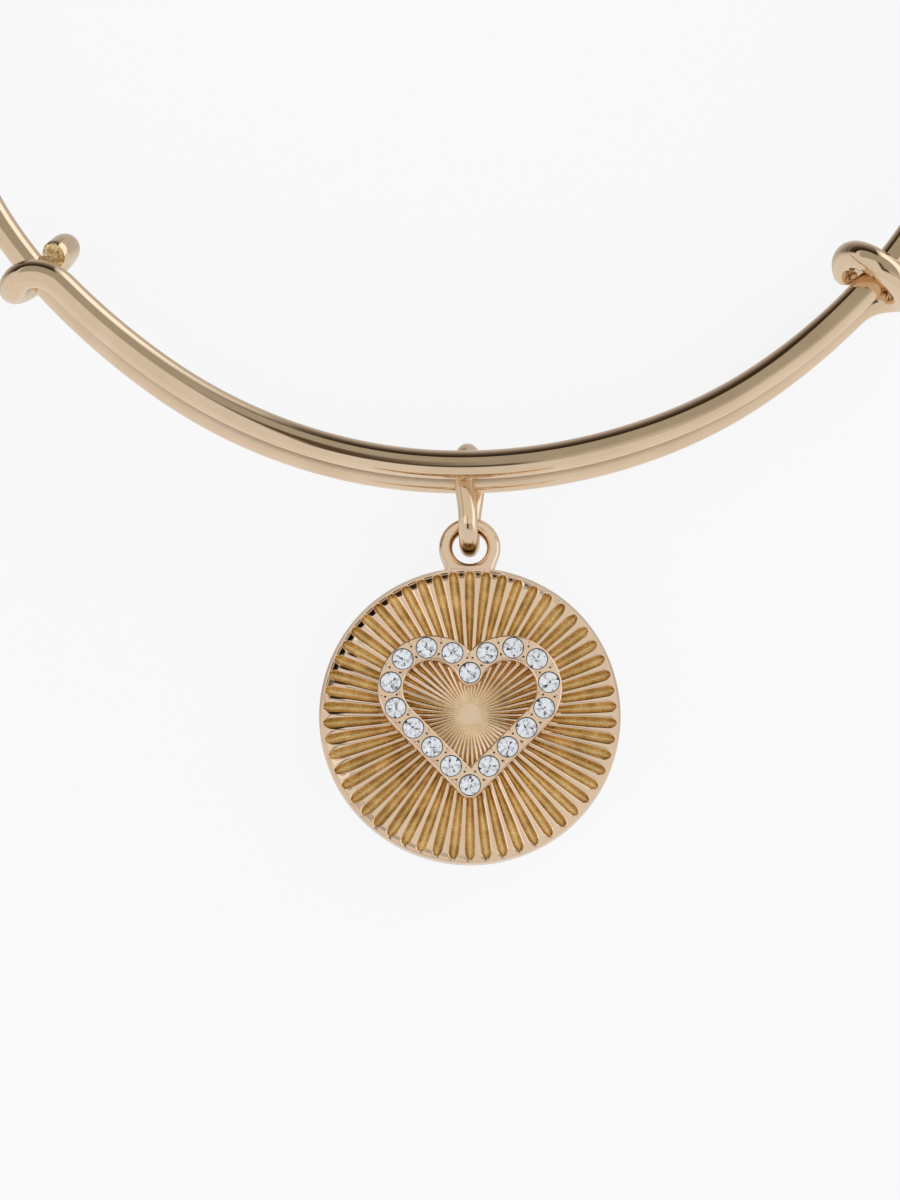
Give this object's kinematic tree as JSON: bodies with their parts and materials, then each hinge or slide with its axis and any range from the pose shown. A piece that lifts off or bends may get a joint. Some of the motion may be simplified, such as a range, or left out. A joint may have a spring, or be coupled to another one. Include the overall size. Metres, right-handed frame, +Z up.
{
  "type": "charm bangle",
  "caption": "Expandable round-wire bangle with overlapping wound ends, lying flat, with an oval jump ring and a round sunburst medallion bearing a raised heart set with crystals.",
  "frame": {"origin": "middle of the wrist opening, at the level of the surface that the bangle lies on", "axes": "+Z up, along the way a hand goes through; the medallion lies at -Y; +X to the right seen from above with the medallion nearest"},
  "size_m": [0.068, 0.09, 0.0064],
  "materials": {
    "wire_gold": "polished pale champagne-gold plating on drawn round wire, bright rough metal on the cut ends",
    "ring_gold": "polished pale champagne-gold plating",
    "medallion_gold": "polished pale gold on the lands, rim and heart, deeper satin gold with a fine sandy grain in the grooves",
    "crystal": "clear faceted crystal on a bright backing"
  },
  "bodies": {
    "root": {"bangle_wire": "wire_gold", "jump_ring": "ring_gold", "medallion": "medallion_gold", "crystals": "crystal"}
  },
  "joints": []
}
